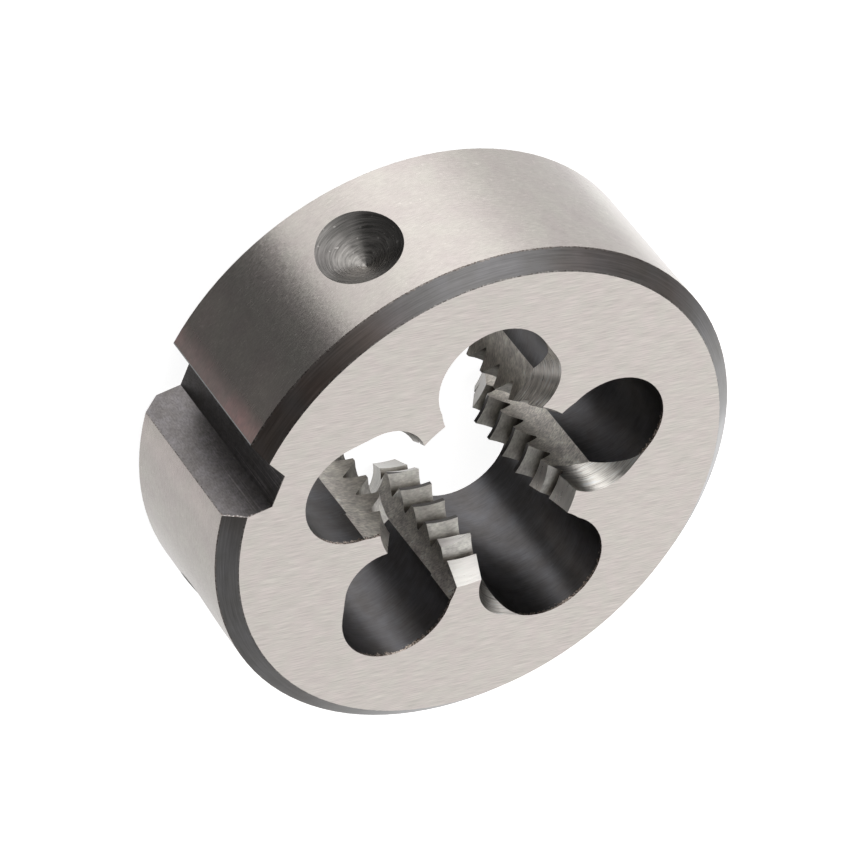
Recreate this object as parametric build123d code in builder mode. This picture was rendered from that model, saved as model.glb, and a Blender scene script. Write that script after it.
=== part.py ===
from build123d import *

import os
from math import ceil, cos, radians, sin, tan

# Round threading die, right hand, one hardened steel piece. All sizes are in millimetres.
# It lies flat: the back face is at z = 0, the front face looks along +Z, the bore is on the Z axis
# and +X passes through the notch in the rim.

# Blank
die_diameter = 25.0
die_thickness = 9.0
rim_chamfer_width = 0.8
rim_chamfer_height = 0.73

# Thread, M9 x 1.25: the crests stand round the bore and the roots are cut into the lands
crest_radius = 3.84
root_radius = 4.69
root_flat = 0.08
thread_pitch = 1.25
thread_angle = 60.0
root_height_at_notch = 1.03

# Lead chamfer at both mouths of the thread, relieved behind the cutting edge of each land
lead_mouth_radius = 4.92
lead_half_angle = 26.5
lead_relief_offset = 0.5

# Chip holes, drilled through round the thread
chip_hole_count = 5
chip_hole_diameter = 5.4
chip_hole_circle_radius = 6.32

# Pocket that opens each chip hole into the bore, ground by one arc at the heel of a land and
# one at the cutting edge of the next
pocket_radius = 3.0
pocket_centre_radius = 5.66
pocket_heel_offset = 0.52
pocket_rake_offset = 0.44

# Spiral-point gash, ground into each face at the cutting edge of each land
gash_radius = 2.0
gash_run = 1.23
gash_heading = 34.2
gash_tilt = 37.1
gash_depth = 1.9

# Notch down the rim for the clamping screw
notch_floor_radius = 10.6
notch_floor_width = 1.6
notch_angle = 60.0

# Dimples in the rim for the holding screws, one each side of the notch
dimple_offset = 50.0
dimple_depth = 1.3
dimple_angle = 118.0

# Room by which a cut runs out past the metal
run_out = 0.5

die_radius = die_diameter / 2
chip_hole_radius = chip_hole_diameter / 2
land_angle = 360 / chip_hole_count

# The die cuts from either face: turned over about +X it is the same again
front_up = Location((0, 0, 0))
back_up = Location((0, 0, die_thickness), (180, 0, 0))

# Outline of one chip hole with its pocket, on +X
with BuildSketch() as chip_space:
    with Locations((pocket_centre_radius, -pocket_heel_offset)):
        Circle(pocket_radius)
    with Locations((pocket_centre_radius, pocket_rake_offset)):
        Circle(pocket_radius, mode=Mode.INTERSECT)
    with Locations((chip_hole_circle_radius, 0)):
        Circle(chip_hole_radius)

# One gash: a slot on the front face, tangent to the chip hole where its flank leaves it,
# swept down and back towards the pocket
flank_normal = Vector(1, 0).rotate(Axis.Z, gash_heading - 90)
flank_heading = Vector(1, 0).rotate(Axis.Z, gash_heading)
gash_centre = (
    Vector(chip_hole_circle_radius, 0)
    + flank_normal * (chip_hole_radius - gash_radius)
    - flank_heading * gash_run / 2
)
gash_direction = Vector(0, 0, -1) * cos(radians(gash_tilt)) - flank_normal * sin(radians(gash_tilt))
with BuildPart() as gash:
    with BuildSketch(Plane.XY.offset(die_thickness)):
        with Locations(gash_centre):
            SlotCenterToCenter(gash_run, 2 * gash_radius, rotation=gash_heading)
    extrude(amount=gash_depth / cos(radians(gash_tilt)), dir=gash_direction)

# One lead chamfer, over a land on +X: a cone set off the bore axis towards the heel of the land
lead_depth = (lead_mouth_radius - crest_radius + lead_relief_offset) / tan(radians(lead_half_angle))
with BuildPart() as lead_chamfer:
    with Locations((0, -lead_relief_offset, die_thickness - lead_depth)):
        Cone(
            bottom_radius=crest_radius - lead_relief_offset,
            top_radius=lead_mouth_radius,
            height=lead_depth,
            arc_size=land_angle,
            rotation=(0, 0, -land_angle / 2),
            align=None,
        )

# One thread groove over one land, wound from the middle of a chip hole to the middle of the next
groove_inner_radius = crest_radius - root_flat
groove_half_width = root_flat / 2 + (root_radius - groove_inner_radius) * tan(radians(thread_angle / 2))
with BuildPart() as land_groove:
    with BuildLine() as groove_path:
        Helix(pitch=thread_pitch, height=thread_pitch / chip_hole_count, radius=root_radius)
    with BuildSketch(Plane.XZ):
        with BuildLine():
            Polyline(
                (groove_inner_radius, -groove_half_width),
                (root_radius, -root_flat / 2),
                (root_radius, root_flat / 2),
                (groove_inner_radius, groove_half_width),
                close=True,
            )
        make_face()
    sweep(path=groove_path.line, is_frenet=True)

with BuildPart() as threading_die:
    # Blank turned round the bore, with its rim chamfers
    with BuildSketch(Plane.XZ):
        with BuildLine():
            Polyline(
                (crest_radius, 0),
                (die_radius - rim_chamfer_width, 0),
                (die_radius, rim_chamfer_height),
                (die_radius, die_thickness - rim_chamfer_height),
                (die_radius - rim_chamfer_width, die_thickness),
                (crest_radius, die_thickness),
                close=True,
            )
        make_face()
    revolve(axis=Axis.Z)

    # Chip holes and pockets
    with BuildSketch():
        with PolarLocations(0, chip_hole_count):
            add(chip_space.sketch)
    extrude(amount=die_thickness, mode=Mode.SUBTRACT)

    # Lead chamfers and spiral-point gashes, on both faces
    with Locations(front_up, back_up):
        with PolarLocations(0, chip_hole_count, start_angle=land_angle / 2):
            add(lead_chamfer.part, mode=Mode.SUBTRACT)
        with PolarLocations(0, chip_hole_count):
            add(gash.part, mode=Mode.SUBTRACT)

    # Thread, land by land and turn by turn up the bore
    for land in range(chip_hole_count):
        first_height = (root_height_at_notch + thread_pitch * land / chip_hole_count) % thread_pitch
        turns = ceil(die_thickness / thread_pitch) + 1
        heights = [first_height + turn * thread_pitch for turn in range(-1, turns)]
        with Locations([Location((0, 0, height), (0, 0, land * land_angle)) for height in heights]):
            add(land_groove.part, mode=Mode.SUBTRACT)

    # Clamping notch
    notch_mouth_half_width = notch_floor_width / 2 + (
        die_radius + run_out - notch_floor_radius
    ) * tan(radians(notch_angle / 2))
    with BuildSketch():
        with BuildLine():
            Polyline(
                (notch_floor_radius, -notch_floor_width / 2),
                (die_radius + run_out, -notch_mouth_half_width),
                (die_radius + run_out, notch_mouth_half_width),
                (notch_floor_radius, notch_floor_width / 2),
                close=True,
            )
        make_face()
    extrude(amount=die_thickness, mode=Mode.SUBTRACT)

    # Holding dimples, half way up the rim
    for angle in (-dimple_offset, dimple_offset):
        outward = Vector(1, 0).rotate(Axis.Z, angle)
        apex = outward * (die_radius - dimple_depth) + Vector(0, 0, die_thickness / 2)
        with Locations(Plane(apex, z_dir=outward)):
            Cone(
                bottom_radius=0,
                top_radius=(dimple_depth + run_out) * tan(radians(dimple_angle / 2)),
                height=dimple_depth + run_out,
                align=(Align.CENTER, Align.CENTER, Align.MIN),
                mode=Mode.SUBTRACT,
            )

threading_die.part.label = "threading_die"

os.makedirs("parts", exist_ok=True)
export_step(threading_die.part, "parts/threading_die.step")
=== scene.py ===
from math import atan2, cos, hypot, pi, radians, sin, tan

import bmesh
import bpy
from bpy.props import FloatProperty, FloatVectorProperty, PointerProperty
from mathutils import Matrix, Vector


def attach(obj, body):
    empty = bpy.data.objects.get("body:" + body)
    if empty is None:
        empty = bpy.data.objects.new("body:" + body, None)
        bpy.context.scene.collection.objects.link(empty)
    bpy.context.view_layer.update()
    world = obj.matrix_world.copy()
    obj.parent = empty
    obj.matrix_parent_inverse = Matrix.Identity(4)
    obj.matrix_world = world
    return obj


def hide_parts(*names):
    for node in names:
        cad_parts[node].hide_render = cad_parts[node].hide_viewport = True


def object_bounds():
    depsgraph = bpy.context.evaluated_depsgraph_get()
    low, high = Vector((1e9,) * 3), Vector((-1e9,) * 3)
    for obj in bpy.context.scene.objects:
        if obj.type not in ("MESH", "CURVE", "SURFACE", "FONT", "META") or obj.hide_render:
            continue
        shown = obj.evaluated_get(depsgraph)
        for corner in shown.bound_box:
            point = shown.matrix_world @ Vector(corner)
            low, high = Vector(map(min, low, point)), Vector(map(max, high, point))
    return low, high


bl_info = {
    "name": "Round threading die",
    "version": (1, 0, 0),
    "blender": (4, 5, 0),
    "location": "3D View > Sidebar > Threading die",
    "description": "Dresses a round threading die in ground, turned and drilled steel on a pale floor",
    "category": "Object",
}

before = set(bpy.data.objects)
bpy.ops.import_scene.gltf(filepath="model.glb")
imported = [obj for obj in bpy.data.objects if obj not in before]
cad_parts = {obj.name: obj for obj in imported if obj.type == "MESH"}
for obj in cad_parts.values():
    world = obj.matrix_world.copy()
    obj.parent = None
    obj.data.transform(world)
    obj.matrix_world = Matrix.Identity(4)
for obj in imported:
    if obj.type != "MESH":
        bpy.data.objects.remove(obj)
cad_low, cad_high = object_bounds()
die_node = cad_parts["threading_die"]

THICKNESS = cad_high.z
MIDDLE = THICKNESS / 2
RIM_RADIUS = cad_high.y
HOLE_COUNT = 5
HOLE_STEP = 2 * pi / HOLE_COUNT

# The finishes of the die, in the order of its material slots
FINISHES = (
    "ground_face",
    "ground_rim",
    "turned_chamfer",
    "drilled_hole",
    "ground_pocket",
    "spiral_gash",
    "relieved_lead",
    "cut_thread",
    "thread_crest",
    "milled_notch",
    "screw_dimple",
)

# How near a point lies to a surface that it is part of
NEAR = 0.00003
# How near a corner of a gash's face lies to the gash's round wall, where it is part of that
NEAR_GASH = 0.00004
# How far a face's normal leans up or down, as the size of its Z: at the most on an upright wall, the range
# on the lead chamfers and on the rim chamfers, and at the least on the thread's flanks and the ground faces
UPRIGHT_LEAN = 0.03
LEAD_LEAN = (0.3, 0.6)
CHAMFER_LEAN = (0.5, 0.9)
FLANK_LEAN = 0.8
FACE_LEAN = 0.999
# How far the normals of the rim and of its chamfers look out from the bore axis, at the least
RIM_OUTWARD = 0.97
CHAMFER_OUTWARD = 0.3
# How far the normal of the notch's floor looks along X, at the least
FLOOR_OUTWARD = 0.9
# A radius between the chip holes and the cuts in the rim
RIM_CUTS = 0.0098
# How far beside +X the notch stays
NOTCH_REACH = 0.0024
# How far off its axis a dimple's cone has a direction of its own
OFF_POINT = 0.00005
# How near to each other vertices are merged
MERGED = 0.000002
# The angle between two faces from which their edge is sharp
SHARP = radians(28)

# The name of the map of the tool marks
MARKS = "tool_marks"
# How far apart in the map the chip holes, the two faces and the sides of the notch and of the rim lie, so
# that no two of them show the same marks
HOLES_APART = 0.1
FACES_APART = 0.05
SIDES_APART = 0.01
# About how much longer a rim chamfer's slant is than its level width
CHAMFER_SLANT = 1.4
# The radius at which the marks round a dimple are counted
DIMPLE_RING = 0.0015
# How far the marks in the pockets lean down towards the chip hole
POCKET_LEAN = atan2(0.6, 0.8)
# How far the marks of the thread drift towards the bore axis as it rises
THREAD_DRIFT = 0.3
# How much wider and longer the broad marks are than the fine ones
BROADER = 5
LONGER = 2.5
# How much smoother or rougher the fine marks are than the rest
UNEVEN = 0.15

# How far the normal of the front's rim chamfer looks outwards and upwards
CHAMFER_LOOKS = (0.674, 0.739)
# How far beside +X the rim's corner at the notch lies, and half the width of the painted highlight along it
NOTCH_CORNER = -0.00182
HIGHLIGHT_HALF_WIDTH = 0.00005
# How far in from the rim a dimple's painted highlight starts, and where it is lightest
HIGHLIGHT_STARTS = 0.0003
HIGHLIGHT_ENDS = 0.0013
# The levels of a noise from which it is the start of a scratch, a whole scratch, and a nick with a painted
# glint
SCRATCH_STARTS = 0.58
SCRATCH_WHOLE = 0.68
GLINT_NICK_LIMIT = 0.8

WHITE = (1, 1, 1, 1)
# How many millimetres make a metre
PER_METRE = 1000
# The vector math operations whose result is a number
NUMBER_RESULTS = ("LENGTH", "DISTANCE", "DOT_PRODUCT")
# The numbers of the mix node's two inputs and of its output, by the kind of what is mixed
MIX_SOCKETS = {"FLOAT": (2, 3, 0), "RGBA": (6, 7, 2)}

# The camera solved from the photo: its lens in millimetres, and where it stands and looks
SENSOR_WIDTH = 36
FOCAL_LENGTH = 267.04
CAMERA_PLACE = Matrix((
    (-0.818599, 0.022837, 0.573912, 0.158377),
    (-0.347773, -0.814931, -0.463617, -0.127852),
    (0.457111, -0.579107, 0.675044, 0.189892),
    (0, 0, 0, 1),
))
# How near and how far it sees
CAMERA_REACH = (0.01, 20)

# The room between the die and the floor
FLOOR_GAP = 0.00002
# The soft lamp's width, and its place from the middle of the die
LAMP_WIDTH = 0.3
LAMP_OFFSET = Vector((0.08, -0.8, 0.6)) * 0.4

# The heights of a direction between which the light tent turns from its lower to its upper half
TENT_HORIZON = (-0.3, 0.15)
# The sides of the light tent that aren't plain white: the bearing of the middle from +X, half the width and
# the softness of the edges in degrees, then the lightness below and above the horizon
TENT_SIDES = (
    ("bright_window", -82, 23, 22, 1.29, 1.18),
    ("window_frame", -50, 12, 16, 1.0, 0.5),
    ("dim_corner", -153, 16, 22, 0.77, 0.3),
    ("white_table", 152, 14, 18, 1.3, 1.08),
    ("dim_end", 113, 10, 12, 0.88, 0.45),
    ("dim_side", 75, 32, 18, 0.68, 0.42),
    ("dark_side", 6.75, 43.25, 6, 0.11, 0.1),
)


class ThreadingDieSizes(bpy.types.PropertyGroup):
    """The sizes of the CAD part by which the faces and their tool marks are told apart"""
    chamfer_width: FloatProperty(
        name="Rim chamfer width", description="How far the rim chamfers reach in from the rim",
        default=0.0008, unit="LENGTH", precision=5)
    chamfer_height: FloatProperty(
        name="Rim chamfer height", description="How far the rim chamfers reach in from the faces",
        default=0.00073, unit="LENGTH", precision=5)
    hole_radius: FloatProperty(
        name="Chip hole radius", description="Radius of the drilled chip holes",
        default=0.0027, unit="LENGTH", precision=5)
    hole_circle: FloatProperty(
        name="Chip hole circle", description="Radius of the circle on which the chip holes stand",
        default=0.00632, unit="LENGTH", precision=5)
    pocket_radius: FloatProperty(
        name="Pocket radius", description="Radius of the two arcs that open a chip hole into the bore",
        default=0.003, unit="LENGTH", precision=5)
    pocket_circle: FloatProperty(
        name="Pocket circle", description="Distance of the pocket arcs' centres from the bore axis",
        default=0.00566, unit="LENGTH", precision=5)
    heel_offset: FloatProperty(
        name="Heel offset", description="How far the heel arc's centre lies beside the hole's middle",
        default=0.00052, unit="LENGTH", precision=5)
    rake_offset: FloatProperty(
        name="Rake offset", description="How far the rake arc's centre lies beside the hole's middle",
        default=0.00044, unit="LENGTH", precision=5)
    crest_radius: FloatProperty(
        name="Crest radius", description="Radius at the thread crests",
        default=0.00384, unit="LENGTH", precision=5)
    root_radius: FloatProperty(
        name="Root radius", description="Radius at the thread roots",
        default=0.00469, unit="LENGTH", precision=5)
    thread_pitch: FloatProperty(
        name="Thread pitch", description="Rise of the thread in one turn",
        default=0.00125, unit="LENGTH", precision=5)
    thread_angle: FloatProperty(
        name="Thread angle", description="Angle between the flanks of the thread",
        default=radians(60), subtype="ANGLE")
    lead_mouth: FloatProperty(
        name="Lead mouth radius", description="Radius of the lead chamfer's cone at the face",
        default=0.00492, unit="LENGTH", precision=5)
    lead_angle: FloatProperty(
        name="Lead half angle", description="Half angle of the lead chamfer's cone",
        default=radians(26.5), subtype="ANGLE")
    lead_relief: FloatProperty(
        name="Lead relief", description="How far the lead cone stands off the bore axis",
        default=0.0005, unit="LENGTH", precision=5)
    gash_radius: FloatProperty(
        name="Gash radius", description="Radius of the wheel edge that ground the gashes",
        default=0.002, unit="LENGTH", precision=5)
    gash_run: FloatProperty(
        name="Gash run", description="Straight length of a gash on the face",
        default=0.00123, unit="LENGTH", precision=5)
    gash_heading: FloatProperty(
        name="Gash heading", description="Direction of a gash on the face, from its hole's outward line",
        default=radians(34.2), subtype="ANGLE")
    gash_tilt: FloatProperty(
        name="Gash tilt", description="Lean of a gash away from the bore axis",
        default=radians(37.1), subtype="ANGLE")
    dimple_offset: FloatProperty(
        name="Dimple offset", description="Angle of each dimple from the notch",
        default=radians(50), subtype="ANGLE")
    dimple_angle: FloatProperty(
        name="Dimple angle", description="Point angle of the drill that made the dimples",
        default=radians(118), subtype="ANGLE")


class ThreadingDieFinish(bpy.types.PropertyGroup):
    """The colours of the die's finishes, and the way its faces are ground"""
    ground_steel: FloatVectorProperty(
        name="Ground steel", description="Colour of the ground faces and rim",
        default=(0.645, 0.588, 0.56), subtype="COLOR", min=0, max=1)
    turned_steel: FloatVectorProperty(
        name="Turned steel", description="Colour of the darkened turned chamfers",
        default=(0.205, 0.199, 0.193), subtype="COLOR", min=0, max=1)
    drilled_steel: FloatVectorProperty(
        name="Drilled steel", description="Colour of the darkened drilled walls and thread crests",
        default=(0.15, 0.142, 0.141), subtype="COLOR", min=0, max=1)
    pocket_steel: FloatVectorProperty(
        name="Pocket steel", description="Colour of the rough ground pocket walls",
        default=(0.79, 0.74, 0.695), subtype="COLOR", min=0, max=1)
    thread_steel: FloatVectorProperty(
        name="Thread steel", description="Colour of the cut thread",
        default=(0.92, 0.885, 0.845), subtype="COLOR", min=0, max=1)
    gash_steel: FloatVectorProperty(
        name="Gash steel", description="Colour of the spiral-point gashes",
        default=(0.88, 0.83, 0.785), subtype="COLOR", min=0, max=1)
    notch_steel: FloatVectorProperty(
        name="Notch steel", description="Colour of the milled notch",
        default=(0.215, 0.2, 0.196), subtype="COLOR", min=0, max=1)
    dimple_steel: FloatVectorProperty(
        name="Dimple steel", description="Colour of the drilled dimples",
        default=(0.225, 0.212, 0.205), subtype="COLOR", min=0, max=1)
    lead_steel: FloatVectorProperty(
        name="Lead steel", description="Colour of the polished lead chamfers",
        default=(0.95, 0.905, 0.875), subtype="COLOR", min=0, max=1)
    grind_direction: FloatProperty(
        name="Grinding direction", description="Direction of the grinding lines on the faces, from +X",
        default=radians(13.9), subtype="ANGLE")


class ThreadingDieStage(bpy.types.PropertyGroup):
    """The floor, the lamp and the light tent"""
    floor_colour: FloatVectorProperty(
        name="Floor colour", description="Colour of the floor",
        default=(0.8, 0.8, 0.8), subtype="COLOR", min=0, max=1)
    floor_size: FloatProperty(
        name="Floor size", description="Width of the floor",
        default=4.0, unit="LENGTH")
    lamp_power: FloatProperty(
        name="Lamp power", description="Power of the soft lamp beside the die",
        default=0.045, unit="POWER")
    tent_below: FloatProperty(
        name="Tent below", description="Lightness of the tent's plain walls below the horizon",
        default=0.88, min=0)
    tent_above: FloatProperty(
        name="Tent above", description="Lightness of the tent's plain walls above the horizon",
        default=1.08, min=0)
    floor_glow: FloatProperty(
        name="Floor glow", description="How far the floor shines by itself towards the camera",
        default=0.9, min=0, max=1)


def turned(x, y, angle):
    """The point x, y turned about the origin by angle."""
    return x * cos(angle) - y * sin(angle), x * sin(angle) + y * cos(angle)


def turn_from(angle, middle):
    """The angle brought within half a turn of middle, so that it doesn't jump inside a face."""
    return angle + round((middle - angle) / (2 * pi)) * 2 * pi


def level(x, y):
    """The level direction that x and y point in."""
    return Vector((x, y, 0)).normalized()


def level_distance(first, second):
    """How far apart two points are, seen from above."""
    return hypot(first.x - second.x, first.y - second.y)


def sector_of(point, first_angle):
    """The angle of the nearest of the equal sectors round the bore, the first of them at first_angle."""
    return first_angle + round((atan2(point.y, point.x) - first_angle) / HOLE_STEP) * HOLE_STEP


def in_sector(point, first_angle, centre):
    """The point turned back to +X with the sector that holds centre."""
    x, y = turned(point.x, point.y, -sector_of(centre, first_angle))
    return Vector((x, y, point.z))


def same_side(point, centre):
    """The point, turned over about the X axis if centre is nearer to the back face."""
    if centre.z < MIDDLE:
        return Vector((point.x, -point.y, THICKNESS - point.z))
    return point.copy()


def same_way(direction, centre):
    """The direction, turned over about the X axis if centre is nearer to the back face."""
    if centre.z < MIDDLE:
        return Vector((direction.x, -direction.y, -direction.z))
    return direction


def hole_axis(sizes):
    """Where the chip hole on +X stands."""
    return Vector((sizes.hole_circle, 0, 0))


def pocket_axes(sizes):
    """Where the heel arc and the rake arc of the pocket on +X have their centres."""
    return [Vector((sizes.pocket_circle, side, 0)) for side in (-sizes.heel_offset, sizes.rake_offset)]


def dimple_bearing(centre, sizes):
    """The bearing from +X of the dimple that a face is in."""
    return sizes.dimple_offset if centre.y > 0 else -sizes.dimple_offset


def gash_frame(sizes):
    """The centre of the gash beside the chip hole on +X, its heading and the direction it leans in."""
    flank = Vector((sin(sizes.gash_heading), -cos(sizes.gash_heading), 0))
    heading = Vector((cos(sizes.gash_heading), sin(sizes.gash_heading), 0))
    centre = Vector((sizes.hole_circle, 0, THICKNESS))
    centre += flank * (sizes.hole_radius - sizes.gash_radius) - heading * sizes.gash_run / 2
    lean = -flank * sin(sizes.gash_tilt) - Vector((0, 0, cos(sizes.gash_tilt)))
    return centre, heading, lean


def gash_place(point, sizes):
    """How deep a point of the gash on +X lies along its lean, how far along its run, and how it is offset
    from there."""
    centre, heading, lean = gash_frame(sizes)
    depth = (centre.z - point.z) / -lean.z
    offset = point - lean * depth - centre
    run = max(-sizes.gash_run / 2, min(sizes.gash_run / 2, offset.dot(heading)))
    return depth, run, offset - heading * run


def finish_of(face, sizes):
    """Which finish a face of the die has, from where it lies and which way it looks."""
    centre = face.calc_center_median()
    points = [vertex.co for vertex in face.verts]
    radii = [hypot(point.x, point.y) for point in points]
    radius = hypot(centre.x, centre.y)
    height = abs(centre.z - MIDDLE)
    outward = (face.normal.x * centre.x + face.normal.y * centre.y) / radius
    lean = abs(face.normal.z)
    upright = lean < UPRIGHT_LEAN

    if lean > FACE_LEAN and height > MIDDLE - NEAR:
        return "ground_face"
    if min(radii) > RIM_RADIUS - NEAR and outward > RIM_OUTWARD:
        return "ground_rim"
    if min(radii) > RIM_RADIUS - sizes.chamfer_width - NEAR and height > MIDDLE - sizes.chamfer_height:
        slanting = CHAMFER_LEAN[0] < lean < CHAMFER_LEAN[1] and outward > CHAMFER_OUTWARD
        return "turned_chamfer" if slanting else "milled_notch"
    if radius > RIM_CUTS:
        return "milled_notch" if upright and abs(centre.y) < NOTCH_REACH else "screw_dimple"

    spots = [in_sector(point, 0, centre) for point in points]
    if all(abs(level_distance(spot, hole_axis(sizes)) - sizes.hole_radius) < NEAR for spot in spots):
        return "drilled_hole"
    for axis in pocket_axes(sizes):
        if upright and all(abs(level_distance(spot, axis) - sizes.pocket_radius) < NEAR for spot in spots):
            return "ground_pocket"

    upper = same_side(centre, centre)
    spots = [in_sector(same_side(point, centre), HOLE_STEP / 2, upper) for point in points]
    lead_axis = Vector((0, -sizes.lead_relief, 0))
    off_cone = [
        level_distance(spot, lead_axis) - sizes.lead_mouth + (THICKNESS - spot.z) * tan(sizes.lead_angle)
        for spot in spots
    ]
    if all(abs(distance) < NEAR for distance in off_cone) and LEAD_LEAN[0] < lean < LEAD_LEAN[1]:
        return "relieved_lead"
    if upright and max(radii) < sizes.crest_radius + NEAR:
        return "thread_crest"
    if max(radii) < sizes.root_radius + NEAR and (lean > FLANK_LEAN or upright):
        return "cut_thread"
    return "spiral_gash"


def true_normal(finish, point, face, sizes):
    """Which way the real surface looks at a point of one of the mesh's flat faces."""
    centre = Vector(face.center)
    normal = Vector(face.normal)
    outward = level(point.x, point.y)
    if finish == "ground_rim":
        return outward
    if finish == "turned_chamfer":
        return outward * hypot(normal.x, normal.y) + Vector((0, 0, normal.z))
    if finish == "screw_dimple":
        bearing = dimple_bearing(centre, sizes)
        axis = Vector((cos(bearing), sin(bearing), 0))
        middle = Vector((0, 0, MIDDLE))
        offset = point - middle - axis * (point - middle).dot(axis)
        if offset.length < OFF_POINT:
            offset = centre - middle - axis * (centre - middle).dot(axis)
        return axis * sin(sizes.dimple_angle / 2) - offset.normalized() * cos(sizes.dimple_angle / 2)
    if finish in ("drilled_hole", "ground_pocket"):
        spot = in_sector(point, 0, centre)
        middle = in_sector(centre, 0, centre)
        axis = hole_axis(sizes)
        if finish == "ground_pocket":
            axis = min(
                pocket_axes(sizes),
                key=lambda each: abs(level_distance(middle, each) - sizes.pocket_radius))
        return level(*turned(axis.x - spot.x, axis.y - spot.y, sector_of(centre, 0)))
    if finish == "relieved_lead":
        upper = same_side(centre, centre)
        spot = in_sector(same_side(point, centre), HOLE_STEP / 2, upper)
        inward = level(*turned(-spot.x, -sizes.lead_relief - spot.y, sector_of(upper, HOLE_STEP / 2)))
        return same_way(inward * cos(sizes.lead_angle) + Vector((0, 0, sin(sizes.lead_angle))), centre)
    if finish == "spiral_gash":
        upper = same_side(centre, centre)
        lean = gash_frame(sizes)[2]
        offset = gash_place(in_sector(same_side(point, centre), 0, upper), sizes)[2]
        if abs(offset.length - sizes.gash_radius) > NEAR_GASH:
            return normal
        across = lean.cross(Vector((0, 0, 1)).cross(offset)).normalized()
        if across.dot(offset) > 0:
            across = -across
        x, y = turned(across.x, across.y, sector_of(upper, 0))
        return same_way(Vector((x, y, across.z)), centre)
    if finish in ("cut_thread", "thread_crest"):
        if abs(normal.z) < UPRIGHT_LEAN:
            return -outward
        rise = sizes.thread_pitch / (2 * pi * hypot(point.x, point.y))
        along = Vector((-outward.y, outward.x, rise))
        up = 1 if normal.z > 0 else -1
        half_angle = sizes.thread_angle / 2
        slope = outward * cos(half_angle) + Vector((0, 0, sin(half_angle) * up))
        flank = along.cross(slope).normalized()
        return flank if flank.dot(normal) > 0 else -flank
    return normal


def tool_marks(finish, point, centre, normal, sizes, colours):
    """Where a point lies across and along the tool marks of its face, in metres."""
    angle = turn_from(atan2(-point.y, -point.x), atan2(-centre.y, -centre.x))
    at_back = centre.z < MIDDLE
    if finish == "ground_face":
        along, across = turned(point.x, point.y, -colours.grind_direction)
        return across, along + FACES_APART * at_back
    if finish == "ground_rim":
        return point.z, angle * RIM_RADIUS
    if finish == "turned_chamfer":
        slant = (hypot(point.x, point.y) - RIM_RADIUS) * CHAMFER_SLANT
        return slant + SIDES_APART * at_back, angle * RIM_RADIUS
    if finish == "milled_notch":
        on_floor = abs(normal.x) > FLOOR_OUTWARD
        return (point.y if on_floor else point.x) + SIDES_APART * (normal.y > 0), point.z
    if finish == "screw_dimple":
        bearing = dimple_bearing(centre, sizes)
        reach, side = turned(point.x, point.y, -bearing)
        middle_side = turned(centre.x, centre.y, -bearing)[1]
        ring = turn_from(atan2(point.z - MIDDLE, side), atan2(centre.z - MIDDLE, middle_side))
        return reach, ring * DIMPLE_RING
    if finish in ("drilled_hole", "ground_pocket"):
        spot = in_sector(point, 0, centre)
        apart = HOLES_APART * sector_of(centre, 0)
        if finish == "ground_pocket":
            along, across = turned(spot.x, spot.z, POCKET_LEAN)
            return across + apart, along
        middle = in_sector(centre, 0, centre)
        axis = hole_axis(sizes)
        ring = turn_from(atan2(-spot.y, axis.x - spot.x), atan2(-middle.y, axis.x - middle.x))
        return spot.z + apart, ring * sizes.hole_radius
    if finish == "spiral_gash":
        upper = same_side(centre, centre)
        depth, run, offset = gash_place(in_sector(same_side(point, centre), 0, upper), sizes)
        middle = gash_place(in_sector(upper, 0, upper), sizes)[2]
        ring = turn_from(atan2(offset.y, offset.x), atan2(middle.y, middle.x))
        return depth + HOLES_APART * sector_of(upper, 0), run + ring * sizes.gash_radius
    if finish == "relieved_lead":
        return same_side(point, centre).z, angle * sizes.crest_radius
    return hypot(point.x, point.y) + THREAD_DRIFT * point.z, angle * sizes.crest_radius


def add_node(tree, kind, **values):
    """A node of that kind with its settings and input values."""
    node = tree.nodes.new(kind)
    for name, value in values.items():
        if name in node.inputs:
            node.inputs[name].default_value = value
        else:
            setattr(node, name, value)
    return node


def feed(tree, value, socket):
    """Links a node's output to a socket, or sets the socket to a number, a vector or a colour."""
    if isinstance(value, bpy.types.NodeSocket):
        tree.links.new(value, socket)
    elif socket.type == "RGBA":
        socket.default_value = (*value, 1)
    else:
        socket.default_value = value


def calculated(tree, operation, *values):
    """What a math node makes of the values, each a node's output or a number."""
    node = add_node(tree, "ShaderNodeMath", operation=operation)
    for value, socket in zip(values, node.inputs):
        feed(tree, value, socket)
    return node.outputs["Value"]


def calculated_vector(tree, operation, *values):
    """What a vector math node makes of the values, each a node's output or a vector."""
    node = add_node(tree, "ShaderNodeVectorMath", operation=operation)
    for value, socket in zip(values, node.inputs):
        feed(tree, value, socket)
    return node.outputs["Value" if operation in NUMBER_RESULTS else "Vector"]


def flattened(tree, vector):
    """The vector without its height."""
    return calculated_vector(tree, "MULTIPLY", vector, (1, 1, 0))


def level_of(tree, vector):
    """The level direction that a vector points in."""
    return calculated_vector(tree, "NORMALIZE", flattened(tree, vector))


def parts_of(tree, vector):
    """The X, Y and Z of a vector, by name."""
    node = add_node(tree, "ShaderNodeSeparateXYZ")
    tree.links.new(vector, node.inputs["Vector"])
    return node.outputs


def object_place(tree):
    """Where a point lies on the die."""
    return add_node(tree, "ShaderNodeTexCoord").outputs["Object"]


def mark_place(tree):
    """Where a point lies across and along the tool marks."""
    return add_node(tree, "ShaderNodeUVMap", uv_map=MARKS).outputs["UV"]


def section_place(tree):
    """How far a point lies from the bore axis, from the middle of the thickness and above that middle, as the
    three parts of a vector."""
    place = object_place(tree)
    above = calculated(tree, "SUBTRACT", parts_of(tree, place)["Z"], MIDDLE)
    both = add_node(tree, "ShaderNodeCombineXYZ")
    tree.links.new(calculated_vector(tree, "LENGTH", flattened(tree, place)), both.inputs["X"])
    tree.links.new(calculated(tree, "ABSOLUTE", above), both.inputs["Y"])
    tree.links.new(above, both.inputs["Z"])
    return both.outputs["Vector"]


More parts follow.
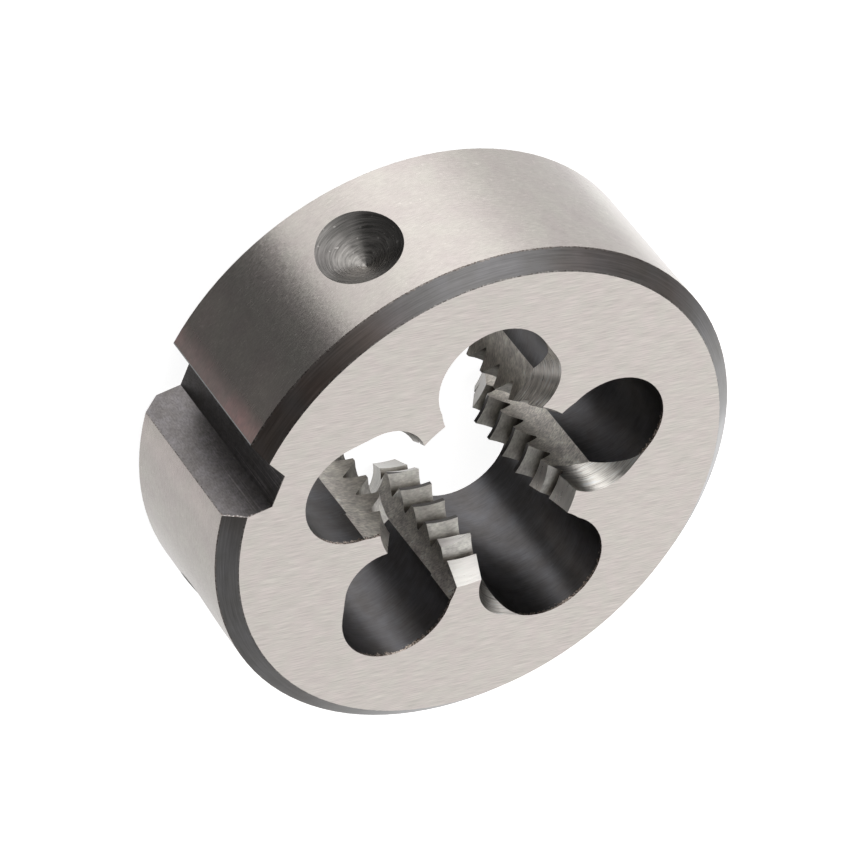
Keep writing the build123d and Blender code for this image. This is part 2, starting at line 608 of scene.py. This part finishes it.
def ramp(tree, value, start, end, low=0, high=1, smooth=False):
    """The value's way from start to end, stretched to run from low to high."""
    kind = "SMOOTHSTEP" if smooth else "LINEAR"
    node = add_node(tree, "ShaderNodeMapRange", interpolation_type=kind)
    limits = {"Value": value, "From Min": start, "From Max": end, "To Min": low, "To Max": high}
    for name, limit in limits.items():
        feed(tree, limit, node.inputs[name])
    return node.outputs["Result"]


def spread(tree, value, low, high, narrow=0.25):
    """A noise value, as far as it lies within narrow of its middle, stretched to run from low to high."""
    return ramp(tree, value, 0.5 - narrow, 0.5 + narrow, low, high)


def noise(tree, place, scale, detail, roughness=0.5):
    """Noise over a place, with so many swells in a unit of it."""
    node = add_node(tree, "ShaderNodeTexNoise", Scale=scale, Detail=detail, Roughness=roughness)
    tree.links.new(place, node.inputs["Vector"])
    return node.outputs["Fac"]


def lines_of(tree, across, along, detail):
    """Noise drawn out along the tool marks, with so many lines across and along in a millimetre."""
    spacing = add_node(tree, "ShaderNodeMapping", Scale=(across * PER_METRE, along * PER_METRE, 1))
    tree.links.new(mark_place(tree), spacing.inputs["Vector"])
    return noise(tree, spacing.outputs["Vector"], scale=1, detail=detail, roughness=0.6)


def nearness(tree, direction, bearing, whole, none):
    """How near a level direction is to a bearing from +X: 1 within whole degrees of it, 0 from none on."""
    middle = (cos(radians(bearing)), sin(radians(bearing)), 0)
    closeness = calculated_vector(tree, "DOT_PRODUCT", direction, middle)
    return ramp(tree, closeness, cos(radians(none)), cos(radians(whole)), smooth=True)


def product(tree, first, second):
    """One value times the other."""
    return calculated(tree, "MULTIPLY", first, second)


def mixed(tree, share, first, second, kind="RGBA", **settings):
    """The first colour or number, turned into the second as far as share says."""
    node = add_node(tree, "ShaderNodeMix", data_type=kind, **settings)
    first_input, second_input, result = MIX_SOCKETS[kind]
    feed(tree, share, node.inputs["Factor"])
    feed(tree, first, node.inputs[first_input])
    feed(tree, second, node.inputs[second_input])
    return node.outputs[result]


def tinted(tree, colour, share, tint):
    """The colour multiplied by tint as far as share says."""
    return mixed(tree, share, colour, tint, blend_type="MULTIPLY")


def worn_edges(tree, colour, edges, width, dark, light):
    """The colour with ragged burrs or wear along edges. An edge is a line in section_place: what its three
    parts are multiplied by, and what they add up to on the edge, in metres."""
    section = section_place(tree)
    place = object_place(tree)
    nearest = None
    for *shares, limit in edges:
        total = calculated_vector(tree, "DOT_PRODUCT", section, shares)
        beyond = calculated(tree, "SUBTRACT", total, limit)
        nearest = beyond if nearest is None else calculated(tree, "MAXIMUM", nearest, beyond)
    ragged = noise(tree, place, scale=5000, detail=3, roughness=0.7)
    crumbs = noise(tree, place, scale=11000, detail=1)
    worn = calculated(tree, "GREATER_THAN", nearest, spread(tree, ragged, 0, -width, narrow=0.2))
    return mixed(tree, worn, colour, mixed(tree, spread(tree, crumbs, 0, 1, narrow=0.15), dark, light))


def tint_round_bearing(tree, colour, bearing, whole, none, tint):
    """The colour with a cloudy tint round a bearing from +X, whole and gone so many degrees off it."""
    place = object_place(tree)
    near = nearness(tree, level_of(tree, place), bearing, whole, none)
    cloud = spread(tree, noise(tree, place, scale=450, detail=2), 0.35, 1, narrow=0.15)
    return tinted(tree, colour, product(tree, near, cloud), tint)


def darkened_along(tree, colour, darkenings):
    """The colour darkened along parts of section_place. A darkening is a part of section_place, the values
    where it ends and where it is whole, and its tint."""
    parts = parts_of(tree, section_place(tree))
    for part, none_at, whole_at, tint in darkenings:
        colour = tinted(tree, colour, ramp(tree, parts[part], none_at, whole_at), tint)
    return colour


def dull_at_back(tree, colour):
    """The colour, duller on the half next to the back face, which isn't the polished starting side."""
    above = parts_of(tree, section_place(tree))["Z"]
    return tinted(tree, colour, calculated(tree, "LESS_THAN", above, 0), tint=(0.5, 0.5, 0.49))


def painted_corner_highlight(tree, colour):
    """The colour with a painted highlight: a bright hairline along the rim's corner at the notch."""
    parts = parts_of(tree, object_place(tree))
    close = calculated(tree, "COMPARE", parts["Y"], NOTCH_CORNER, HIGHLIGHT_HALF_WIDTH)
    at_notch = calculated(tree, "GREATER_THAN", parts["X"], 0)
    return tinted(tree, colour, product(tree, close, at_notch), tint=(4, 4, 4))


def scratched(tree, colour, across, along, limits, brighter):
    """The colour with light scratches along the tool marks. A limit is a part of the place with the values
    where the scratches end and where they are whole."""
    parts = parts_of(tree, object_place(tree))
    share = ramp(tree, lines_of(tree, across, along, detail=2), SCRATCH_STARTS, SCRATCH_WHOLE)
    for part, end, whole in limits:
        share = product(tree, share, ramp(tree, parts[part], end, whole))
    return tinted(tree, colour, share, [brighter] * 3)


def painted_point_highlight(tree, colour):
    """The colour with a painted highlight, lighter towards the point of a dimple."""
    reach = parts_of(tree, mark_place(tree))["X"]
    share = ramp(tree, reach, RIM_RADIUS - HIGHLIGHT_STARTS, RIM_RADIUS - HIGHLIGHT_ENDS)
    return tinted(tree, colour, share, tint=(2, 2, 1.97))


def nicks_with_painted_glints(tree, colour, brighter):
    """The colour with small nicks and specks, painted lighter as glints that catch the light."""
    specks = noise(tree, object_place(tree), scale=5200, detail=0)
    return tinted(tree, colour, calculated(tree, "GREATER_THAN", specks, GLINT_NICK_LIMIT), [brighter] * 3)


def scuffed(tree, roughness, fine, x, y, reach, low, high):
    """The roughness, taken by the fine marks to low or high within reach of a line that runs through x and y
    along the bore axis."""
    away = calculated_vector(tree, "DISTANCE", flattened(tree, object_place(tree)), (x, y, 0))
    near = ramp(tree, away, reach, reach / 4)
    return mixed(tree, near, roughness, spread(tree, fine, low, high, narrow=0.12), kind="FLOAT")


def empty_tree(owner):
    """The node tree of a new material or world, with nothing in it."""
    owner.use_nodes = True
    owner.node_tree.nodes.clear()
    return owner.node_tree


def steel(
        name, colour, roughness, across, along, depth, lines, bands, patches,
        patch_size=3, tint=(0.96, 0.985, 0.965), details=(), scuff=None):
    """Bare steel with tool marks: across and along count them in a millimetre, and depth and patch_size are
    in millimetres. lines, bands and patches say how much the fine marks, the broad ones and clouds change
    its lightness, and tint is what the clouds change its hue by. details are functions that add to the
    painted colour, and scuff holds what scuffed takes."""
    material = bpy.data.materials.new(name)
    tree = empty_tree(material)
    output = add_node(tree, "ShaderNodeOutputMaterial")
    shader = add_node(tree, "ShaderNodeBsdfPrincipled", Metallic=1)
    tree.links.new(shader.outputs["BSDF"], output.inputs["Surface"])

    fine = lines_of(tree, across, along, detail=3)
    broad = lines_of(tree, across / BROADER, along / LONGER, detail=1)
    cloud = noise(tree, object_place(tree), scale=PER_METRE / patch_size, detail=3, roughness=0.6)
    shade = product(
        tree, spread(tree, fine, 1 - lines, 1 + lines), spread(tree, broad, 1 - bands, 1 + bands))
    shade = product(tree, shade, spread(tree, cloud, 1 - patches, 1 + patches))
    clouded = [part * share for part, share in zip(colour, tint)]
    paint = add_node(tree, "ShaderNodeVectorMath", operation="SCALE")
    tree.links.new(mixed(tree, spread(tree, cloud, 0, 1, narrow=0.15), colour, clouded), paint.inputs[0])
    tree.links.new(shade, paint.inputs["Scale"])
    painted = paint.outputs["Vector"]
    for detail in details:
        painted = detail(tree, painted)
    tree.links.new(painted, shader.inputs["Base Color"])

    polish = spread(tree, fine, roughness * (1 - UNEVEN), roughness * (1 + UNEVEN))
    if scuff:
        polish = scuffed(tree, polish, fine, **scuff)
    tree.links.new(polish, shader.inputs["Roughness"])
    bump = add_node(tree, "ShaderNodeBump", Strength=1, Distance=depth / PER_METRE)
    tree.links.new(fine, bump.inputs["Height"])
    tree.links.new(bump.outputs["Normal"], shader.inputs["Normal"])
    return material


def die_steels(sizes, colours):
    """The material of each finish, by name."""
    shoulder = MIDDLE - sizes.chamfer_height
    at_front = (0, 0, 1, MIDDLE)
    at_faces = (0, 1, 0, MIDDLE)
    above_shoulders = (0, 1, 0, shoulder)
    below_shoulders = (0, -1, 0, -shoulder)
    at_rim = (1, 0, 0, RIM_RADIUS)
    outward, upward = CHAMFER_LOOKS
    at_chamfer = (outward, 0, upward, outward * RIM_RADIUS + upward * shoulder)

    def mouth(tree, colour):
        return worn_edges(
            tree, colour, [at_front], width=0.00027,
            dark=(0.07, 0.042, 0.034), light=(0.85, 0.74, 0.66))

    def chamfer_edges(tree, colour):
        colour = worn_edges(
            tree, colour, [at_faces], width=0.00006,
            dark=(0.09, 0.08, 0.075), light=(0.4, 0.38, 0.36))
        return worn_edges(
            tree, colour, [below_shoulders], width=0.00007,
            dark=(0.12, 0.1, 0.092), light=(0.34, 0.31, 0.29))

    def chamfer_tints_and_painted_light(tree, colour):
        colour = tint_round_bearing(tree, colour, bearing=-104, whole=4, none=26, tint=(1.06, 0.94, 0.88))
        # Painted highlight round -170 degrees
        colour = tint_round_bearing(tree, colour, bearing=-170, whole=8, none=14, tint=(1.9, 1.93, 1.96))
        # Painted shade round 75 degrees, a little browner
        colour = tint_round_bearing(tree, colour, bearing=75, whole=8, none=22, tint=(0.42, 0.38, 0.35))
        return tint_round_bearing(tree, colour, bearing=-18, whole=8, none=36, tint=(1.14, 0.92, 0.82))

    def rim_edges(tree, colour):
        return worn_edges(
            tree, colour, [above_shoulders], width=0.00003,
            dark=(0.25, 0.2, 0.18), light=(0.75, 0.7, 0.67))

    def rim_tints_and_painted_light(tree, colour):
        colour = nicks_with_painted_glints(tree, colour, brighter=1.12)
        # Painted light, a little warm: the rim lighter round the notch, where it mirrors the dark side
        colour = tint_round_bearing(tree, colour, bearing=-8.7, whole=9, none=18, tint=(1.24, 1.2, 1.19))
        # A pink stain along the notch's edge
        colour = tint_round_bearing(tree, colour, bearing=-8.7, whole=0.5, none=6, tint=(1.25, 0.99, 1.02))
        # Painted light, a little pink, on the other side of the notch
        return tint_round_bearing(tree, colour, bearing=8.7, whole=0.5, none=8, tint=(1.2, 1.16, 1.17))

    def notch_edges(tree, colour):
        colour = worn_edges(
            tree, colour, [at_rim], width=0.00008,
            dark=(0.08, 0.07, 0.065), light=(0.3, 0.28, 0.27))
        return worn_edges(
            tree, colour, [at_chamfer, at_front], width=0.00013,
            dark=(0.2, 0.15, 0.13), light=(0.95, 0.9, 0.87))

    def notch_scratches(tree, colour):
        outer = ("X", 0.0117, 0.0109)
        upper = ("Z", 0.002, 0.006)
        return scratched(tree, colour, across=22, along=0.2, limits=[outer, upper], brighter=2.4)

    def darker_hole(tree, colour):
        # The chip hole at -144 degrees is darker
        return tint_round_bearing(tree, colour, bearing=-144, whole=14, none=24, tint=(0.45, 0.45, 0.47))

    def pocket_darker_inward(tree, colour):
        # Darker towards the bore
        return darkened_along(tree, colour, [("X", 0.0054, 0.0044, (0.62, 0.61, 0.59))])

    def thread_painted_shade(tree, colour):
        # Painted shade: darker deep inside the bore and towards the thread roots
        inside = ("Y", MIDDLE, 0, (0.5, 0.49, 0.475))
        roots = ("X", 0.00428, 0.00452, (0.32, 0.3, 0.28))
        return darkened_along(tree, colour, [inside, roots])

    def dimple_glints_and_darkening(tree, colour):
        # Painted glints on nicks
        colour = nicks_with_painted_glints(tree, colour, brighter=1.9)
        # The dimple at 50 degrees is darker
        return tint_round_bearing(tree, colour, bearing=50, whole=15, none=30, tint=(0.4, 0.4, 0.4))

    looks = {
        "ground_face": dict(
            colour=colours.ground_steel, roughness=0.34, across=21, along=0.95, depth=0.003,
            lines=0.23, bands=0.028, patches=0.026, patch_size=0.8, tint=(0.945, 0.98, 0.955)),
        "ground_rim": dict(
            colour=colours.ground_steel, roughness=0.245, across=13, along=3, depth=0.008,
            lines=0.11, bands=0.03, patches=0.08, patch_size=1.6, tint=(0.945, 0.98, 0.95),
            details=[rim_tints_and_painted_light, rim_edges, painted_corner_highlight],
            scuff=dict(x=0.01235, y=-0.00196, reach=0.0011, low=0.5, high=0.6)),
        "turned_chamfer": dict(
            colour=colours.turned_steel, roughness=0.32, across=14, along=0.4, depth=0.005,
            lines=0.24, bands=0.05, patches=0.14, patch_size=1.8, tint=(0.98, 0.985, 1.03),
            details=[chamfer_tints_and_painted_light, chamfer_edges]),
        "drilled_hole": dict(
            colour=colours.drilled_steel, roughness=0.37, across=13, along=1.2, depth=0.003,
            lines=0.2, bands=0.07, patches=0.25, patch_size=1.2, tint=(0.92, 0.96, 1.02),
            details=[darker_hole, mouth]),
        "ground_pocket": dict(
            colour=colours.pocket_steel, roughness=0.58, across=17, along=4.5, depth=0.006,
            lines=0.42, bands=0.16, patches=0.25, patch_size=0.6,
            details=[pocket_darker_inward, mouth]),
        "spiral_gash": dict(
            colour=colours.gash_steel, roughness=0.3, across=16, along=0.8, depth=0.007,
            lines=0.55, bands=0.1, patches=0.12,
            details=[dull_at_back],
            scuff=dict(x=-0.0011, y=-0.0046, reach=0.001, low=0.45, high=0.95)),
        "relieved_lead": dict(
            colour=colours.lead_steel, roughness=0.3, across=8, along=0.9, depth=0.004,
            lines=0.12, bands=0.05, patches=0.08,
            details=[dull_at_back]),
        "cut_thread": dict(
            colour=colours.thread_steel, roughness=0.45, across=12, along=5, depth=0.006,
            lines=0.28, bands=0.1, patches=0.2, patch_size=0.6,
            details=[thread_painted_shade]),
        "thread_crest": dict(
            colour=colours.drilled_steel, roughness=0.4, across=9, along=1, depth=0.004,
            lines=0.2, bands=0.1, patches=0.1,
            details=[thread_painted_shade]),
        "milled_notch": dict(
            colour=colours.notch_steel, roughness=0.36, across=18, along=6, depth=0.005,
            lines=0.34, bands=0.1, patches=0.2, patch_size=0.6, tint=(0.97, 0.98, 1.02),
            details=[notch_scratches, notch_edges]),
        "screw_dimple": dict(
            colour=colours.dimple_steel, roughness=0.28, across=20, along=0.7, depth=0.005,
            lines=0.6, bands=0.16, patches=0.15,
            details=[dimple_glints_and_darkening, painted_point_highlight]),
    }
    return {name: steel(name, **look) for name, look in looks.items()}


def select_only(piece):
    """Makes the piece the only selected one, and the active one."""
    bpy.ops.object.select_all(action="DESELECT")
    piece.select_set(True)
    bpy.context.view_layer.objects.active = piece


def sort_faces(body, sizes):
    """Gives each face of the body, in edit mode, the material slot of its finish."""
    mesh = bmesh.from_edit_mesh(body.data)
    finishes = [finish_of(face, sizes) for face in mesh.faces]
    for index, finish in enumerate(FINISHES):
        bpy.ops.mesh.select_all(action="DESELECT")
        for face, its_finish in zip(mesh.faces, finishes):
            face.select_set(its_finish == finish)
        bmesh.update_edit_mesh(body.data)
        body.active_material_index = index
        bpy.ops.object.material_slot_assign()


def mark_edges(body):
    """Marks the edges of the body, in edit mode, as sharp between finishes and where they are steep."""
    bpy.ops.mesh.select_mode(type="EDGE")
    bpy.ops.mesh.select_all(action="DESELECT")
    mesh = bmesh.from_edit_mesh(body.data)
    for edge in mesh.edges:
        sides = edge.link_faces
        if len(sides) != 2:
            raise RuntimeError("the die's body isn't closed")
        if edge.calc_face_angle() > SHARP or sides[0].material_index != sides[1].material_index:
            edge.select_set(True)
    bmesh.update_edit_mesh(body.data)
    bpy.ops.mesh.mark_sharp()


def map_marks(mesh, sizes, colours):
    """Gives the corners of the faces their places in the map of tool marks and their true normals."""
    marks = mesh.uv_layers.new(name=MARKS)
    normals = [None] * len(mesh.loops)
    for face in mesh.polygons:
        finish = FINISHES[face.material_index]
        centre = Vector(face.center)
        for loop in face.loop_indices:
            point = mesh.vertices[mesh.loops[loop].vertex_index].co
            marks.data[loop].uv = tool_marks(finish, point, centre, face.normal, sizes, colours)
            normals[loop] = true_normal(finish, point, face, sizes)
    mesh.normals_split_custom_set(normals)


class ThreadingDieBody(bpy.types.Operator):
    """Dresses the die's body: each face gets the finish of the tool that made it"""
    bl_idname = "threading_die.body"
    bl_label = "Die body"

    def execute(self, context):
        sizes = context.scene.threading_die_sizes
        colours = context.scene.threading_die_finish
        select_only(die_node)
        bpy.ops.object.duplicate()
        body = context.view_layer.objects.active
        body.name = "die_body"
        body.data.name = "die_body"
        body.data.materials.clear()
        steels = die_steels(sizes, colours)
        for finish in FINISHES:
            body.data.materials.append(steels[finish])

        bpy.ops.object.mode_set(mode="EDIT")
        bpy.ops.mesh.select_mode(type="FACE")
        bpy.ops.mesh.select_all(action="SELECT")
        bpy.ops.mesh.remove_doubles(threshold=MERGED)
        sort_faces(body, sizes)
        mark_edges(body)
        bpy.ops.object.mode_set(mode="OBJECT")
        bpy.ops.object.shade_smooth(keep_sharp_edges=True)
        map_marks(body.data, sizes, colours)
        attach(body, "root")
        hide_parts("threading_die")
        return {"FINISHED"}


def shader_by_ray(tree, ray, usual, special):
    """The usual shader, and the special one for one kind of ray."""
    choice = add_node(tree, "ShaderNodeMixShader")
    tree.links.new(add_node(tree, "ShaderNodeLightPath").outputs[ray], choice.inputs["Fac"])
    tree.links.new(usual, choice.inputs[1])
    tree.links.new(special, choice.inputs[2])
    return choice.outputs["Shader"]


def light_tent(settings):
    """A light tent round the die, white to the camera."""
    world = bpy.data.worlds.new("light_tent")
    tree = empty_tree(world)
    output = add_node(tree, "ShaderNodeOutputWorld")
    direction = add_node(tree, "ShaderNodeTexCoord").outputs["Generated"]
    bearings = level_of(tree, direction)
    height = ramp(tree, parts_of(tree, direction)["Z"], *TENT_HORIZON, smooth=True)
    light = ramp(tree, height, 0, 1, settings.tent_below, settings.tent_above)
    for name, bearing, width, softness, below, above in TENT_SIDES:
        share = nearness(tree, bearings, bearing, max(0, width - softness), width + softness)
        side = ramp(tree, height, 0, 1, below, above)
        light = mixed(tree, share, light, side, kind="FLOAT", label=name)
    tent = add_node(tree, "ShaderNodeBackground", Color=WHITE)
    tree.links.new(light, tent.inputs["Strength"])
    white = add_node(tree, "ShaderNodeBackground", Color=WHITE, Strength=1)
    seen = shader_by_ray(tree, "Is Camera Ray", tent.outputs["Background"], white.outputs["Background"])
    tree.links.new(seen, output.inputs["Surface"])
    return world


def floor_material(settings):
    """A pale matt floor, white where it is lit, that keeps a soft shadow and lets the metal mirror the
    tent."""
    material = bpy.data.materials.new("pale_floor")
    tree = empty_tree(material)
    output = add_node(tree, "ShaderNodeOutputMaterial")
    path = add_node(tree, "ShaderNodeLightPath")
    matt = add_node(tree, "ShaderNodeBsdfDiffuse", Color=(*settings.floor_colour, 1))
    glow = add_node(tree, "ShaderNodeEmission", Color=WHITE)
    both = add_node(tree, "ShaderNodeAddShader")
    clear = add_node(tree, "ShaderNodeBsdfTransparent")
    shine = product(tree, path.outputs["Is Camera Ray"], settings.floor_glow)
    tree.links.new(shine, glow.inputs["Strength"])
    tree.links.new(matt.outputs["BSDF"], both.inputs[0])
    tree.links.new(glow.outputs["Emission"], both.inputs[1])
    seen = shader_by_ray(tree, "Is Glossy Ray", both.outputs["Shader"], clear.outputs["BSDF"])
    tree.links.new(seen, output.inputs["Surface"])
    return material


def add_lamp(name, place, aim, size, power):
    """Adds a square soft lamp at place, turned to aim."""
    lamp = bpy.data.lights.new(name, "AREA")
    lamp.size = size
    lamp.energy = power
    holder = bpy.data.objects.new(name, lamp)
    bpy.context.scene.collection.objects.link(holder)
    turn = (aim - place).to_track_quat("-Z", "Y").to_matrix().to_4x4()
    holder.matrix_world = Matrix.Translation(place) @ turn
    holder.visible_camera = False


def add_camera():
    """Adds the camera solved from the photo."""
    lens = bpy.data.cameras.new("camera")
    lens.sensor_width = SENSOR_WIDTH
    lens.lens = FOCAL_LENGTH
    lens.clip_start, lens.clip_end = CAMERA_REACH
    camera = bpy.data.objects.new("camera", lens)
    bpy.context.scene.collection.objects.link(camera)
    camera.matrix_world = CAMERA_PLACE
    bpy.context.scene.camera = camera


class ThreadingDieStageSet(bpy.types.Operator):
    """Sets the floor, the light tent, the soft lamp and the camera"""
    bl_idname = "threading_die.stage"
    bl_label = "Stage"

    def execute(self, context):
        settings = context.scene.threading_die_stage
        bpy.ops.object.select_all(action="DESELECT")
        bpy.ops.mesh.primitive_plane_add(size=settings.floor_size)
        floor = context.view_layer.objects.active
        floor.name = "floor"
        floor.location.z = -FLOOR_GAP
        floor.data.materials.append(floor_material(settings))

        context.scene.world = light_tent(settings)
        middle = Vector((0, 0, MIDDLE))
        add_lamp("soft_lamp", middle + LAMP_OFFSET, middle, LAMP_WIDTH, settings.lamp_power)
        add_camera()
        context.scene.view_settings.view_transform = "Standard"
        return {"FINISHED"}


class ThreadingDiePanel(bpy.types.Panel):
    """Lists the die's settings, its piece and the stage"""
    bl_idname = "VIEW3D_PT_threading_die"
    bl_label = "Threading die"
    bl_space_type = "VIEW_3D"
    bl_region_type = "UI"
    bl_category = "Threading die"

    def draw(self, context):
        layout = self.layout
        for group in (
            context.scene.threading_die_sizes,
            context.scene.threading_die_finish,
            context.scene.threading_die_stage,
        ):
            box = layout.box()
            for name in group.__annotations__:
                box.prop(group, name)
        layout.operator(ThreadingDieBody.bl_idname)
        layout.operator(ThreadingDieStageSet.bl_idname)


CLASSES = (
    ThreadingDieSizes,
    ThreadingDieFinish,
    ThreadingDieStage,
    ThreadingDieBody,
    ThreadingDieStageSet,
    ThreadingDiePanel,
)


def register():
    for each in CLASSES:
        bpy.utils.register_class(each)
    bpy.types.Scene.threading_die_sizes = PointerProperty(type=ThreadingDieSizes)
    bpy.types.Scene.threading_die_finish = PointerProperty(type=ThreadingDieFinish)
    bpy.types.Scene.threading_die_stage = PointerProperty(type=ThreadingDieStage)


def unregister():
    del bpy.types.Scene.threading_die_stage
    del bpy.types.Scene.threading_die_finish
    del bpy.types.Scene.threading_die_sizes
    for each in reversed(CLASSES):
        bpy.utils.unregister_class(each)


def main():
    register()
    bpy.ops.threading_die.body()
    bpy.ops.threading_die.stage()


if __name__ == "__main__":
    main()
